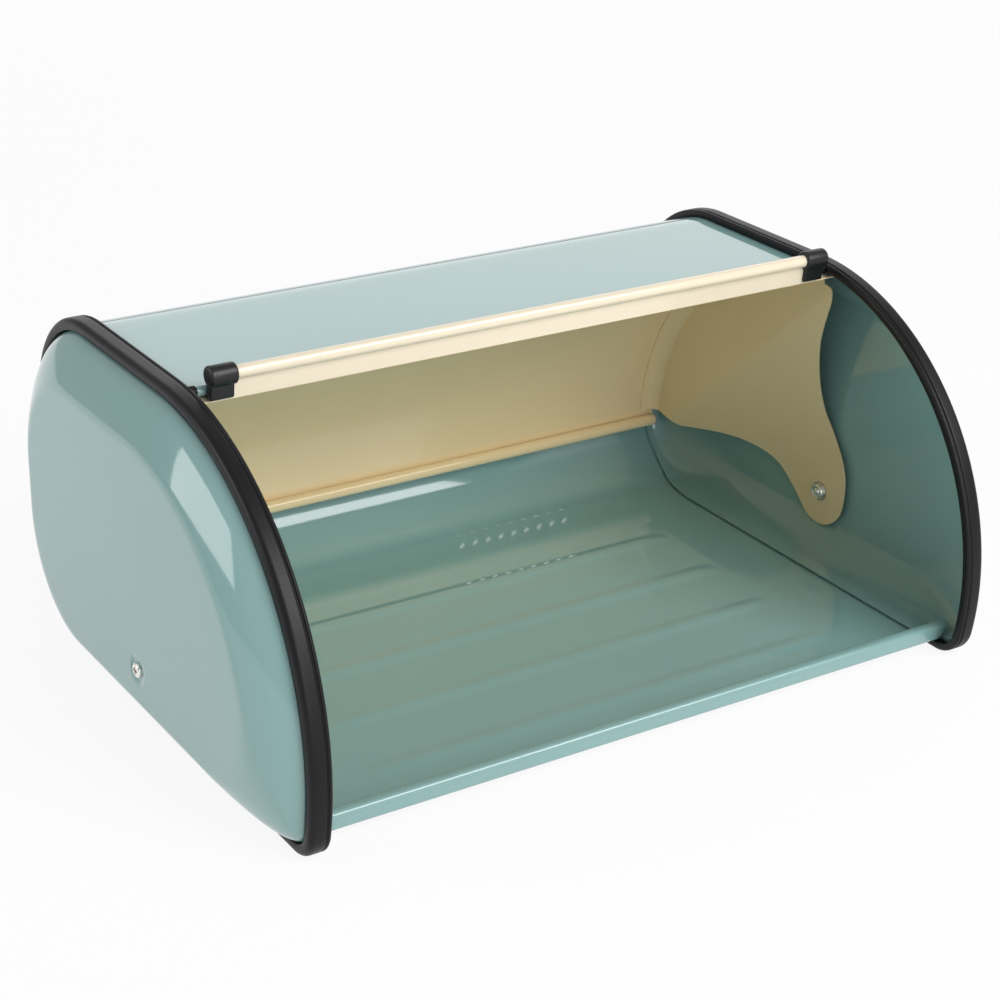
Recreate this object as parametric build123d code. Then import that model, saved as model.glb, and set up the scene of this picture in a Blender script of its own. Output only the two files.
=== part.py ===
from build123d import *
import math
import os

# Roll top bread box of painted sheet steel, drawn with its lid rolled open.
# Millimetres. X runs along the box, Y from front to back, Z up.
# The origin is under the middle of the box, on the surface it stands on.
# The lid turns about the line along X through pivot_y and pivot_z.

os.makedirs("parts", exist_ok=True)

# Overall form, measured over the black edge trims
trim_span = 388.0
box_depth = 292.0
front_radius = 142.0
pivot_height = 37.0
crown_radius = 63.0
heel_radius = 44.0
toe_radius = 16.0

# Sheet and edge trim
sheet = 0.8
trim_width = 11.0
trim_proud = 4.2
trim_cover = 6.0
trim_grip = 1.6
trim_fit = 0.1
trim_outer_leg = 4.6
trim_round = 3.2
groove_width = 1.7
groove_depth = 0.8

# Domed end caps
dome_rise = 16.5
dome_front_inset = 27.0
dome_back_inset = 25.0
dome_bottom_inset = 19.0
dome_corner = 54.0
dome_toe = 40.0
dome_steps = 6
seat_recess = 1.2
seat_radius = 7.5
seat_flare = 3.5

# Body sheet: rolled edges, ribs and vents
hem_diameter = 5.0
hem_dip = 0.25
lip_depth = 6.5
lip_height = 9.4
lip_round = 2.4
lip_setback = 20.5
rib_count = 4
rib_pitch = 46.5
rib_front_margin = 52.0
rib_end_margin = 57.0
rib_width = 16.0
rib_rise = 0.9
rib_draft = 70.0
vent_diameter = 4.0
vent_pitch = 9.1
vent_count = 9
vent_first_x = 59.0
vent_height = 29.5

# Lid
open_angle = 7.0
lid_clearance = 1.0
rim_overlap_angle = 0.3
stop_gap = 0.35
handle_reach = 12.4
handle_diameter = 6.4
handle_end_gap = 7.0
rear_hem_diameter = 7.0

# Lid arms
arm_sheet = 0.8
arm_rim_gap = 0.1
arm_flange = 8.0
arm_bend_start = 26.0
arm_bend_end = 80.0
arm_bend_radius = 40.0
arm_rim_setback = 3.0
arm_bend_direction = 41.0
lobe_radius = 19.5
lobe_front_angle = 98.0
lobe_rear_angle = 224.0
front_waist_lean = 1.5
front_waist_share = 0.5
front_belly_lean = 19.0
front_belly_share = 0.84
rear_waist_rise = 10.5
rear_waist_share = 0.45
front_edge_tangents = ((-0.1, 1), (0.45, 1))
rear_edge_tangents = ((-1, 0.12), (-1, -1))

# Handle end caps
cap_length = 13.5
cap_wall = 1.9
cap_end_wall = 1.5
cap_tab_thickness = 4.6
cap_tab_setback = 0.5
cap_tab_short = 0.9
cap_tab_gap = 0.9

# Pivot hardware
pivot_diameter = 6.0
running_fit = 0.05
side_play = 0.15
spacer_diameter = 12.0
spacer_length = 1.6
washer_diameter = 11.0
washer_thickness = 0.8
nut_head_diameter = 9.0
nut_head_height = 2.6
nut_head_round = 2.1
screw_diameter = 4.0
screw_head_diameter = 7.6
screw_head_height = 2.1
screw_head_round = 1.25
recess_width = 1.1
recess_length = 4.2
recess_depth = 1.2
screw_hole_fit = 0.15
thread_fit = 0.03
nut_floor = 1.0

# Places worked out from the sizes above
half_span = trim_span / 2
pivot_y = front_radius - box_depth / 2
pivot_z = pivot_height
shell_radius = front_radius - trim_proud - sheet / 2
hem_radius = shell_radius - sheet / 2 - hem_dip + hem_diameter / 2
lid_radius = hem_radius - hem_diameter / 2 - lid_clearance
lip_y = lip_setback - box_depth / 2
lip_z = trim_proud + lip_height / 2
rib_first_y = rib_front_margin - box_depth / 2
rib_length = trim_span - 2 * rib_end_margin
cap_plane = half_span - trim_outer_leg
seat_x = half_span + dome_rise - seat_recess
arm_end_x = cap_plane - sheet - arm_rim_gap
arm_pivot_x = seat_x - sheet - spacer_length - side_play
handle_half_length = half_span - trim_width - handle_end_gap


def on_arc(radius, angle):
    """Point at an angle from straight up, leaning to the front, about the pivot."""
    a = math.radians(angle)
    return (pivot_y - radius * math.sin(a), pivot_z + radius * math.cos(a))


# The top edge lies just behind the handle, where the handle's end caps reach it
hem_angle = open_angle - math.degrees(
    (cap_tab_thickness / 2 + hem_diameter / 2 + stop_gap) / hem_radius)

# The closed lid's arms come down on the ends of the lip, at its upper front round
stop_y = lip_y - lip_depth / 2 + lip_round
stop_z = lip_z + lip_height / 2 - lip_round
stop_reach = math.hypot(stop_y - pivot_y, stop_z - pivot_z)
stop_angle = 90 + math.degrees(math.atan2(pivot_z - stop_z, pivot_y - stop_y))
closed_angle = stop_angle - math.degrees(
    math.asin((lip_round + sheet / 2 + stop_gap) / stop_reach))
travel = closed_angle - open_angle
rear_angle = hem_angle - rim_overlap_angle - travel


def arc(centre, radius, start, end):
    """Arc about a centre between two angles in degrees."""
    def at(angle):
        a = math.radians(angle)
        return (centre[0] + radius * math.cos(a), centre[1] + radius * math.sin(a))
    return ThreePointArc(at(start), at((start + end) / 2), at(end))


def side_edges(front, back=None, bottom=None, crown=None, heel=None, toe=None):
    """Side outline of the box, moved inwards by the given insets."""
    back = front if back is None else back
    bottom = front if bottom is None else bottom
    crown = crown_radius - front if crown is None else crown
    heel = heel_radius - front if heel is None else heel
    toe = toe_radius - front if toe is None else toe
    radius = front_radius - front
    top = pivot_z + radius
    rear = box_depth / 2 - back
    toe_z = bottom + toe
    toe_y = pivot_y - math.sqrt((radius - toe) ** 2 - (pivot_z - toe_z) ** 2)
    turn = math.degrees(math.atan2(toe_z - pivot_z, toe_y - pivot_y)) % 360
    return [
        Line((pivot_y, top), (rear - crown, top)),
        arc((rear - crown, top - crown), crown, 90, 0),
        Line((rear, top - crown), (rear, bottom + heel)),
        arc((rear - heel, bottom + heel), heel, 0, -90),
        Line((rear - heel, bottom), (toe_y, bottom)),
        arc((toe_y, toe_z), toe, 270, turn),
        arc((pivot_y, pivot_z), radius, turn, 90),
    ]


def side_face(*insets):
    """The side outline as a face."""
    return make_face(side_edges(*insets))


def across(face, x_from, x_to):
    """Side face drawn in (Y, Z), extruded along X between two places."""
    return extrude(Plane.YZ.offset(x_from) * face, amount=x_to - x_from)


def pivot_rod(diameter, x_from, x_to):
    """Round bar on the pivot line."""
    disc = Pos(pivot_y, pivot_z) * Circle(diameter / 2)
    return across(disc, x_from, x_to)


def rolled_edge(centre, diameter, wall=sheet):
    """Section of a sheet edge rolled into a tube."""
    ring = Circle(diameter / 2) - Circle(diameter / 2 - wall)
    return Pos(*centre) * ring


def folded_edge(centre, depth, height, corner):
    """Section of a sheet edge folded into a flattened tube."""
    inside = RectangleRounded(depth - 2 * sheet, height - 2 * sheet, corner - sheet)
    return Pos(*centre) * (RectangleRounded(depth, height, corner) - inside)


def swing(face, angle):
    """Turn a face drawn about the origin to an angle from straight up, at the pivot."""
    return Pos(pivot_y, pivot_z) * Rot(0, 0, angle) * face


# Body sheet

def mouth_sector():
    """The part of the side outline that the lid closes."""
    reach = 3 * front_radius
    return make_face(Polyline(
        (pivot_y, pivot_z), on_arc(reach, hem_angle), (-reach, reach), (-reach, -reach),
        (lip_y, -reach), (lip_y, pivot_z), (pivot_y, pivot_z)))


def floor_rib(y, width, z_from, z_to):
    """Long pad with round ends, lying across the box."""
    slot = SlotOverall(rib_length - (rib_width - width), width)
    return extrude(Pos(0, y, z_from) * slot, amount=z_to - z_from, taper=rib_draft)


def vent(x):
    """Punch square to the back sheet, also where that curves into the heel."""
    heel = heel_radius - trim_proud - sheet / 2
    lean = math.asin(max(0, heel_radius - vent_height) / heel)
    y = box_depth / 2 - heel_radius + heel * math.cos(lean)
    punch = Cylinder(vent_diameter / 2, 4 * sheet, rotation=(90 - math.degrees(lean), 0, 0))
    return Pos(x, y, vent_height) * punch


def body_shell():
    """Top, back and floor in one bent sheet, with rolled front edges."""
    outer = side_face(trim_proud)
    inner = side_face(trim_proud + sheet)
    section = (outer - inner) - mouth_sector()
    section += folded_edge((lip_y, lip_z), lip_depth, lip_height, lip_round)
    flange_face = side_face(trim_grip + trim_fit) - inner - mouth_sector()
    flange_x = cap_plane - sheet
    hem_x = half_span - trim_width - trim_fit
    body = across(section, -flange_x, flange_x)
    body += across(rolled_edge(on_arc(hem_radius, hem_angle), hem_diameter), -hem_x, hem_x)
    for side in (-1, 1):
        body += across(flange_face, side * flange_x, side * (flange_x - sheet))
    floor = trim_proud + sheet
    for index in range(rib_count):
        y = rib_first_y + index * rib_pitch
        body += floor_rib(y, rib_width, floor - sheet / 2, floor + rib_rise)
        body -= floor_rib(y, rib_width - 2 * sheet, trim_proud - sheet, floor + rib_rise - sheet)
    for side in (-1, 1):
        for index in range(vent_count):
            body -= vent(side * (vent_first_x + index * vent_pitch))
    return body


# End caps and edge trims, drawn for the right end

def dome(rim_inset, rise):
    """Solid dome over the rim outline, its shoulder a parabola from rim to flat crown."""
    def blend(rim, crown, share):
        return rim + (crown - rim) * share
    sections = []
    for step in range(dome_steps):
        height = step / (dome_steps - 1)
        share = height ** 2
        face = side_face(
            blend(rim_inset, dome_front_inset, share),
            blend(rim_inset, dome_back_inset, share),
            blend(rim_inset, dome_bottom_inset, share),
            blend(crown_radius - rim_inset, dome_corner, share),
            blend(heel_radius - rim_inset, dome_corner, share),
            blend(toe_radius - rim_inset, dome_toe, share))
        sections.append(Plane.YZ.offset(cap_plane + rise * height) * face)
    return loft(sections)


def seat_cut(x, radius):
    """Shallow round recess for the screw head, flaring out to the dome's crown and past it."""
    flare = 2 * seat_flare
    depth = 2 * seat_recess
    cone = Cone(radius, radius + flare, depth, align=(Align.CENTER, Align.CENTER, Align.MIN))
    return Pos(x, pivot_y, pivot_z) * Rot(0, 90, 0) * cone


def end_cap():
    """Pressed domed pan with a flange all round and a seat at the pivot."""
    full_rise = dome_rise + trim_outer_leg
    rim = trim_cover + trim_fit
    outside = dome(rim, full_rise) - seat_cut(seat_x, seat_radius)
    inside = dome(rim + sheet, full_rise - sheet) - seat_cut(seat_x - sheet, seat_radius + sheet)
    pan = outside - inside
    flange = side_face(trim_grip + trim_fit) - side_face(rim + sheet)
    pan += across(flange, cap_plane - sheet, cap_plane)
    return pan - pivot_rod(screw_diameter + 2 * screw_hole_fit, seat_x - 3 * sheet, seat_x + sheet)


def trim_section():
    """Rubber section: across from the outboard face, with the outline at zero and inwards negative."""
    slot_end = trim_outer_leg + 2 * sheet
    groove_end = trim_width - trim_round / 2
    groove = groove_end - groove_width
    return make_face([
        Line((0, -trim_cover), (0, -trim_round)),
        arc((trim_round, -trim_round), trim_round, 180, 90),
        Line((trim_round, 0), (groove, 0)),
        ThreePointArc((groove, 0), (groove + groove_width / 2, -groove_depth), (groove_end, 0)),
        arc((groove_end, -trim_round / 2), trim_round / 2, 90, 0),
        Line((trim_width, -trim_round / 2), (trim_width, -trim_proud)),
        Line((trim_width, -trim_proud), (slot_end, -trim_proud)),
        Line((slot_end, -trim_proud), (slot_end, -trim_grip)),
        Line((slot_end, -trim_grip), (trim_outer_leg, -trim_grip)),
        Line((trim_outer_leg, -trim_grip), (trim_outer_leg, -trim_cover)),
        Line((trim_outer_leg, -trim_cover), (0, -trim_cover)),
    ])


def edge_trim():
    """Rubber channel all round one end."""
    path = Plane.YZ.offset(half_span) * Wire(side_edges(0))
    start = Plane(origin=path @ 0, x_dir=(-1, 0, 0), z_dir=(0, 1, 0))
    return sweep(start * trim_section(), path=path)


# Lid

def lid_section():
    """Curved panel with its rolled rear edge, and the handle bent out of its front."""
    span = open_angle - rear_angle
    ring = Circle(lid_radius) - Circle(lid_radius - sheet)
    reach = 2 * lid_radius
    steps = [rear_angle + span * share for share in (0, 0.25, 0.5, 0.75, 1)]
    rays = [(-reach * math.sin(math.radians(a)), reach * math.cos(math.radians(a))) for a in steps]
    panel = Pos(pivot_y, pivot_z) * (ring & make_face(Polyline((0, 0), *rays, (0, 0))))
    rear = on_arc(lid_radius - rear_hem_diameter / 2, rear_angle)
    return panel + rolled_edge(rear, rear_hem_diameter)


def handle_section():
    """Flat strip standing out of the lid's front edge, ending in a rolled rod."""
    foot = lid_radius - sheet
    strip_height = lid_radius + handle_reach - handle_diameter / 2 + sheet / 2 - foot
    strip = Pos(0, foot + strip_height / 2) * Rectangle(sheet, strip_height)
    rod = rolled_edge((0, lid_radius + handle_reach), handle_diameter)
    return swing(strip + rod, open_angle)


def lid_panel():
    """Lid skin between the arms, handle in one piece with it."""
    length = arm_end_x - arm_sheet
    panel = across(lid_section(), -length, length)
    return panel + across(handle_section(), -handle_half_length, handle_half_length)


# Lid arms, handle caps and pivots, drawn for the right end

def arm_outline():
    """Fan from the lid panel down to a round lobe at the pivot, about the origin."""
    def polar(radius, angle):
        a = math.radians(angle)
        return (-radius * math.sin(a), radius * math.cos(a))
    front_top = polar(lid_radius, open_angle)
    front_nose = polar(stop_reach - lip_round, open_angle)
    back_end = polar(lid_radius, rear_angle)
    lobe_front = polar(lobe_radius, lobe_front_angle)
    lobe_below = polar(lobe_radius, (lobe_front_angle + lobe_rear_angle) / 2)
    lobe_back = polar(lobe_radius, lobe_rear_angle)
    middle = polar(lid_radius, (open_angle + rear_angle) / 2)
    front_waist = (-front_waist_lean, front_waist_share * lid_radius)
    front_belly = (-front_belly_lean, front_belly_share * lid_radius)
    back_waist = (rear_waist_share * lid_radius, rear_waist_rise)
    return make_face([
        ThreePointArc(front_top, middle, back_end),
        Spline(back_end, back_waist, lobe_back, tangents=rear_edge_tangents),
        ThreePointArc(lobe_back, lobe_below, lobe_front),
        Spline(lobe_front, front_waist, front_belly, front_nose, tangents=front_edge_tangents),
        Line(front_nose, front_top),
    ])


def bent_band():
    """The arm's sheet seen along its bend: distance from the pivot line, then X."""
    far = 2 * lid_radius
    middle = FilletPolyline(
        (-far, arm_pivot_x), (arm_bend_start, arm_pivot_x),
        (arm_bend_end, arm_end_x), (far, arm_end_x), radius=arm_bend_radius)
    return Pos(0, -arm_sheet / 2) * trace(middle, arm_sheet)


def lid_arm():
    """Pressed arm: its lobe stands out into the dome, its rim lies against the panel."""
    outline = Pos(pivot_y, pivot_z) * arm_outline()
    plate = across(outline, arm_end_x - arm_flange, half_span + dome_rise)
    a = math.radians(arm_bend_direction)
    bend_frame = Plane(origin=(0, pivot_y, pivot_z), x_dir=(0, math.sin(a), math.cos(a)),
                       z_dir=(0, math.cos(a), -math.sin(a)))
    sheet_band = extrude(bend_frame * bent_band(), amount=2 * lid_radius, both=True)
    plate = plate & sheet_band
    rim_face = Circle(lid_radius - sheet) - Circle(lid_radius - sheet - arm_sheet)
    reach = 2 * lid_radius
    first = open_angle - arm_rim_setback
    last = rear_angle + arm_rim_setback
    rays = [(-reach * math.sin(math.radians(a)), reach * math.cos(math.radians(a)))
            for a in (last, (first + last) / 2, first)]
    rim_face = Pos(pivot_y, pivot_z) * (rim_face & make_face(Polyline((0, 0), *rays, (0, 0))))
    plate += across(rim_face, arm_end_x - arm_flange, arm_end_x)
    bore = pivot_diameter + 2 * running_fit
    return plate - pivot_rod(bore, half_span, half_span + dome_rise)


def handle_cap():
    """Moulded end cap on the handle rod, with a tab over the strip."""
    outer_x = handle_half_length + cap_end_wall
    inner_x = outer_x - cap_length
    rod_reach = lid_radius + handle_reach
    rod = swing(Pos(0, rod_reach) * Circle(handle_diameter / 2 + cap_wall), open_angle)
    tab_foot = lid_radius + cap_tab_gap
    tab_height = rod_reach - tab_foot
    tab_place = Pos(0, tab_foot + tab_height / 2)
    tab = swing(tab_place * Rectangle(cap_tab_thickness, tab_height), open_angle)
    cap = across(rod, inner_x, outer_x)
    cap += across(tab, inner_x + cap_tab_short, outer_x - cap_tab_setback)
    socket = swing(Pos(0, rod_reach) * Circle(handle_diameter / 2 + running_fit), open_angle)
    slot_width = sheet + 2 * running_fit
    slot = swing(tab_place * Rectangle(slot_width, tab_height + 2 * sheet), open_angle)
    return cap - across(socket, inner_x, handle_half_length) - across(slot, inner_x, handle_half_length)


def pivot_spacer():
    """Bush that holds the arm away from the dome."""
    spacer = pivot_rod(spacer_diameter, arm_pivot_x + side_play, seat_x - sheet)
    return spacer - pivot_rod(pivot_diameter + 2 * running_fit, arm_pivot_x, seat_x)


def washer_faces():
    """X of the inner washer's two faces, inboard one first."""
    outboard = arm_pivot_x - arm_sheet - side_play
    return outboard - washer_thickness, outboard


def pivot_washer():
    """Flat washer between the arm and the nut's head."""
    inboard, outboard = washer_faces()
    ring = pivot_rod(washer_diameter, inboard, outboard)
    return ring - pivot_rod(pivot_diameter + 2 * running_fit, inboard, outboard)


def pivot_nut():
    """Shouldered cap nut: its barrel is the bearing, its domed head holds the arm on."""
    inboard, _ = washer_faces()
    nut = pivot_rod(pivot_diameter, inboard, seat_x - sheet)
    head = pivot_rod(nut_head_diameter, inboard - nut_head_height, inboard)
    inner_edge = head.edges().filter_by(GeomType.CIRCLE).sort_by(Axis.X)[0]
    nut += fillet(inner_edge, nut_head_round)
    bore_start = inboard - nut_head_height + nut_floor
    return nut - pivot_rod(screw_diameter + 2 * thread_fit, bore_start, seat_x)


def pivot_screw():
    """Pan head machine screw with a cross recess, fitted from outside."""
    inboard, _ = washer_faces()
    screw = pivot_rod(screw_diameter, inboard - nut_head_height + 2 * nut_floor, seat_x)
    head = pivot_rod(screw_head_diameter, seat_x, seat_x + screw_head_height)
    outer_edge = head.edges().filter_by(GeomType.CIRCLE).sort_by(Axis.X)[-1]
    head = fillet(outer_edge, screw_head_round)
    recess = Rectangle(recess_width, recess_length) + Rectangle(recess_length, recess_width)
    recess = Pos(pivot_y, pivot_z) * recess
    top = seat_x + screw_head_height
    head -= across(recess, top - recess_depth, top)
    return screw + head


def write(name, shape):
    """Write one node as one or more plain solids."""
    solids = shape.solids()
    export_step(solids[0] if len(solids) == 1 else Compound(children=solids), f"parts/{name}.step")


def write_pair(name, shape):
    """Write the right-hand piece and its mirror image."""
    write(f"right_{name}", shape)
    write(f"left_{name}", mirror(shape, about=Plane.YZ))


write("body_shell", body_shell())
write_pair("end_cap", end_cap())
write_pair("edge_trim", edge_trim())
write_pair("pivot_screw", pivot_screw())
write_pair("pivot_spacer", pivot_spacer())
write_pair("pivot_washer", pivot_washer())
write_pair("pivot_nut", pivot_nut())
write("lid_panel", lid_panel())
write_pair("lid_arm", lid_arm())
write_pair("handle_cap", handle_cap())
print(f"travel {travel:.2f} deg, rear {rear_angle:.2f} deg, hem {hem_angle:.2f} deg")
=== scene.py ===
from math import asin, atan2, cos, degrees, hypot, pi, radians, sin, sqrt, tan

import bmesh
import bpy
from mathutils import Matrix, Vector


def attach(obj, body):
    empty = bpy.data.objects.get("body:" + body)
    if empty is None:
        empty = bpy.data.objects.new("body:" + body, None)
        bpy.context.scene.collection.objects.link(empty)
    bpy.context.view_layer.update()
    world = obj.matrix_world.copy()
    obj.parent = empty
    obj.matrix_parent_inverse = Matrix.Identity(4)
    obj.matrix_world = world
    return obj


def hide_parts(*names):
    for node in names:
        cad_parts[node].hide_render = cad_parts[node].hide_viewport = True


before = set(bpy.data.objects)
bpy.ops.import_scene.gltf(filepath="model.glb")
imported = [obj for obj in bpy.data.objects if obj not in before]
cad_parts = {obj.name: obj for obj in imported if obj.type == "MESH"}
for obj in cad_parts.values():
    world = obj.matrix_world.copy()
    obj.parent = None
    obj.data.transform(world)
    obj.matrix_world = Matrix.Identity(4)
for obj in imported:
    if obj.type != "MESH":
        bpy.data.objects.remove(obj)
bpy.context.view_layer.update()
scene = bpy.context.scene
mm = 0.001

# sizes shared by all pieces, in millimetres, the same as the part's
boxForm = {
    "span": 388.0, "depth": 292.0, "frontRadius": 142.0, "pivotHeight": 37.0,
    "crownRadius": 63.0, "heelRadius": 44.0, "toeRadius": 16.0,
    "trimProud": 4.2, "trimWidth": 11.0, "outerLeg": 4.6, "sheet": 0.8,
}
halfSpan = boxForm["span"] / 2
pivotY = boxForm["frontRadius"] - boxForm["depth"] / 2
pivotZ = boxForm["pivotHeight"]
capPlane = halfSpan - boxForm["outerLeg"]
sheet = boxForm["sheet"]
sides = {"left": -1, "right": 1}


def newObject(name, data):
    item = bpy.data.objects.new(name, data)
    scene.collection.objects.link(item)
    return item


# camera matched to the photo: millimetres and degrees, and its clip distances in metres
cameraSet = {"place": (-574.175, -866.408, 543.647), "azimuth": -33.239, "elevation": 24.234,
             "roll": 1.407, "lens": 80.319, "sensor": 36.0, "nearest": 0.05, "farthest": 20.0}


def makeCamera():
    a, e, r = (radians(cameraSet[k]) for k in ("azimuth", "elevation", "roll"))
    back = Vector((sin(a) * cos(e), -cos(a) * cos(e), sin(e)))
    right = Vector((cos(a), sin(a), 0))
    up = back.cross(right)
    x = right * cos(r) + up * sin(r)
    y = up * cos(r) - right * sin(r)
    data = bpy.data.cameras.new("camera")
    data.lens = cameraSet["lens"]
    data.sensor_width = cameraSet["sensor"]
    data.clip_start, data.clip_end = cameraSet["nearest"], cameraSet["farthest"]
    camera = newObject("camera", data)
    turn = Matrix((x, y, back)).transposed().to_4x4()
    camera.matrix_world = Matrix.Translation(Vector(cameraSet["place"]) * mm) @ turn
    scene.camera = camera


makeCamera()
print("camera set")


def linearColour(hexText):
    parts = [int(hexText[i:i + 2], 16) / 255 for i in (1, 3, 5)]
    return (*[c / 12.92 if c <= 0.04045 else ((c + 0.055) / 1.055) ** 2.4 for c in parts], 1)


def addNode(tree, kind, settings=None, links=None):
    node = tree.nodes.new(kind)
    for key, value in (settings or {}).items():
        if isinstance(key, str) and hasattr(node, key):
            setattr(node, key, value)
        else:
            node.inputs[key].default_value = value
    for key, socket in (links or {}).items():
        tree.links.new(socket, node.inputs[key])
    return node


def newMaterial(name):
    material = bpy.data.materials.new(name)
    material.use_nodes = True
    material.node_tree.nodes.clear()
    return material, material.node_tree


def addNoise(tree, size, detail):
    # noise with cells of a size in millimetres
    place = addNode(tree, "ShaderNodeTexCoord")
    return addNode(tree, "ShaderNodeTexNoise", {"Scale": 1 / (size * mm), "Detail": detail},
                   {"Vector": place.outputs["Object"]}).outputs["Fac"]


def addBump(tree, noise, strength, height):
    return addNode(tree, "ShaderNodeBump", {"Strength": strength, "Distance": height * mm},
                   {"Height": noise}).outputs["Normal"]


def addRoughness(tree, noise, rough, skin):
    # a roughness that the noise makes a little smoother or rougher
    return addNode(tree, "ShaderNodeMapRange",
                   {"To Min": rough - skin["smoother"], "To Max": rough + skin["rougher"]},
                   {"Value": noise}).outputs["Result"]


def addSurface(tree, settings, links):
    shader = addNode(tree, "ShaderNodeBsdfPrincipled", settings, links)
    addNode(tree, "ShaderNodeOutputMaterial", None, {"Surface": shader.outputs[0]})


# stove enamel on pressed steel: a glossy coat, faint orange peel and a slightly uneven tone
enamelSet = {
    "greenEnamel": {"colour": "#86ABAA", "deep": "#82A7A5", "rough": 0.08},
    "creamEnamel": {"colour": "#EADEC6", "deep": "#E6D9C0", "rough": 0.16},
    # the deeper, yellower cream below is the same cream enamel with painted shade, for the arms and
    # the lid's inside
    "creamEnamelPaintedShade": {"colour": "#EED8AC", "deep": "#E9D2A4", "rough": 0.16},
}
enamelCoat = {"toneSize": 111.0, "peelSize": 3.85, "peelHeight": 0.2, "peelStrength": 0.05,
              "smoother": 0.02, "rougher": 0.03, "ior": 1.52, "coat": 0.4, "coatRough": 0.03}


def makeEnamel(name):
    values, coat = enamelSet[name], enamelCoat
    material, tree = newMaterial(name)
    tone = addNoise(tree, coat["toneSize"], 3.0)
    peel = addNoise(tree, coat["peelSize"], 1.0)
    mix = addNode(tree, "ShaderNodeMix",
                  {"data_type": "RGBA", 6: linearColour(values["colour"]),
                   7: linearColour(values["deep"])}, {0: tone})
    addSurface(tree, {"IOR": coat["ior"], "Coat Weight": coat["coat"],
                      "Coat Roughness": coat["coatRough"]},
               {"Base Color": mix.outputs[2],
                "Roughness": addRoughness(tree, tone, values["rough"], coat),
                "Normal": addBump(tree, peel, coat["peelStrength"], coat["peelHeight"])})
    return material


# moulded plastic: soft black PVC trims, harder black ABS clips and natural nylon bushes, dull with
# a fine moulded grain, which is drawn about five times as coarse as it is so that it shows
mouldedSet = {
    "blackTrimPvc": {"colour": "#100F12", "rough": 0.4, "shine": 0.26, "grain": 1.11, "bump": 0.1},
    "blackClipAbs": {"colour": "#161618", "rough": 0.36, "shine": 0.4, "grain": 0.714, "bump": 0.08},
    "spacerNylon": {"colour": "#D9D6CC", "rough": 0.42, "shine": 0.5, "grain": 0.833, "bump": 0.05},
}
mouldedSkin = {"grainHeight": 0.2, "smoother": 0.05, "rougher": 0.06, "ior": 1.5}


def makeMoulded(name):
    values, skin = mouldedSet[name], mouldedSkin
    material, tree = newMaterial(name)
    grain = addNoise(tree, values["grain"], 2.0)
    addSurface(tree, {"Base Color": linearColour(values["colour"]), "IOR": skin["ior"],
                      "Specular IOR Level": values["shine"]},
               {"Roughness": addRoughness(tree, grain, values["rough"], skin),
                "Normal": addBump(tree, grain, values["bump"], skin["grainHeight"])})
    return material


# plated steel: bright nickel on the screws and cap nuts and greyer zinc on the washers, both with
# an uneven polish, which is drawn coarser than it is so that it shows
metalSet = {
    "nickelPlate": {"colour": "#EDEBE6", "rough": 0.24, "rubbing": 0.385},
    "zincPlate": {"colour": "#C9C8C4", "rough": 0.24, "rubbing": 0.455},
}
metalSkin = {"smoother": 0.06, "rougher": 0.10}


def makeMetal(name):
    values = metalSet[name]
    material, tree = newMaterial(name)
    marks = addNoise(tree, values["rubbing"], 3.0)
    addSurface(tree, {"Base Color": linearColour(values["colour"]), "Metallic": 1.0},
               {"Roughness": addRoughness(tree, marks, values["rough"], metalSkin)})
    return material


finish = {name: makeEnamel(name) for name in enamelSet}
finish.update({name: makeMoulded(name) for name in mouldedSet})
finish.update({name: makeMetal(name) for name in metalSet})
print("materials made")


# functions for shapes, with points in millimetres until meshObject

def meshObject(name, points, faces, material, sharpAngle=40):
    mesh = bpy.data.meshes.new(name)
    mesh.from_pydata([tuple(c * mm for c in p) for p in points], [], faces)
    mesh.materials.append(material)
    shapeNormals(mesh, sharpAngle)
    return newObject(name, mesh)


def shapeNormals(mesh, sharpAngle=40):
    # outward faces, smooth but for the edges that turn by more than sharpAngle
    form = bmesh.new()
    form.from_mesh(mesh)
    bmesh.ops.recalc_face_normals(form, faces=form.faces)
    for face in form.faces:
        face.smooth = True
    limit = radians(sharpAngle)
    for edge in form.edges:
        edge.smooth = len(edge.link_faces) != 2 or edge.calc_face_angle(0) < limit
    form.to_mesh(mesh)
    form.free()


def applyModifiers(piece):
    # the evaluated shape becomes the piece's own plain mesh
    graph = bpy.context.evaluated_depsgraph_get()
    mesh = bpy.data.meshes.new_from_object(piece.evaluated_get(graph))
    piece.modifiers.clear()
    piece.data = mesh


def thicken(piece, offset, even=True):
    # a bare surface becomes sheet metal
    wall = piece.modifiers.new("wall", "SOLIDIFY")
    wall.thickness, wall.offset, wall.use_even_offset = sheet * mm, offset, even
    applyModifiers(piece)


def onSide(side, points):
    # points drawn for the right side, mirrored for the left
    return [(side * x, y, z) for x, y, z in points]


def joined(parts):
    # several (points, faces) lists as one
    points, faces = [], []
    for somePoints, someFaces in parts:
        start = len(points)
        points += somePoints
        faces += [tuple(i + start for i in face) for face in someFaces]
    return points, faces


def ladder(rows, closedRows=False, closedColumns=False):
    # quads between rows of points
    width = len(rows[0])
    points = [p for row in rows for p in row]
    faces = []
    for i in range(len(rows) if closedRows else len(rows) - 1):
        for j in range(width if closedColumns else width - 1):
            a, b = i * width, (i + 1) % len(rows) * width
            k = (j + 1) % width
            faces.append((a + j, a + k, b + k, b + j))
    return points, faces


def endFaces(count, width):
    # the faces that close the first and the last row of a ladder
    return [tuple(range(width)), tuple(range(count - width, count))]


def eased(share):
    t = max(0.0, min(1.0, share))
    return t * t * (3 - 2 * t)


def evenShares(count):
    return [k / count for k in range(count)]


def polar(radius, angle):
    # a point in (y, z) at an angle in degrees from straight up to the front
    a = radians(angle)
    return (-radius * sin(a), radius * cos(a))


def onArc(radius, angle):
    # the same about the pivot
    y, z = polar(radius, angle)
    return (pivotY + y, pivotZ + z)


def straightPart(start, end, shares):
    # points on a straight line, at shares of its length
    return [tuple(a + (b - a) * s for a, b in zip(start, end)) for s in shares]


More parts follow.
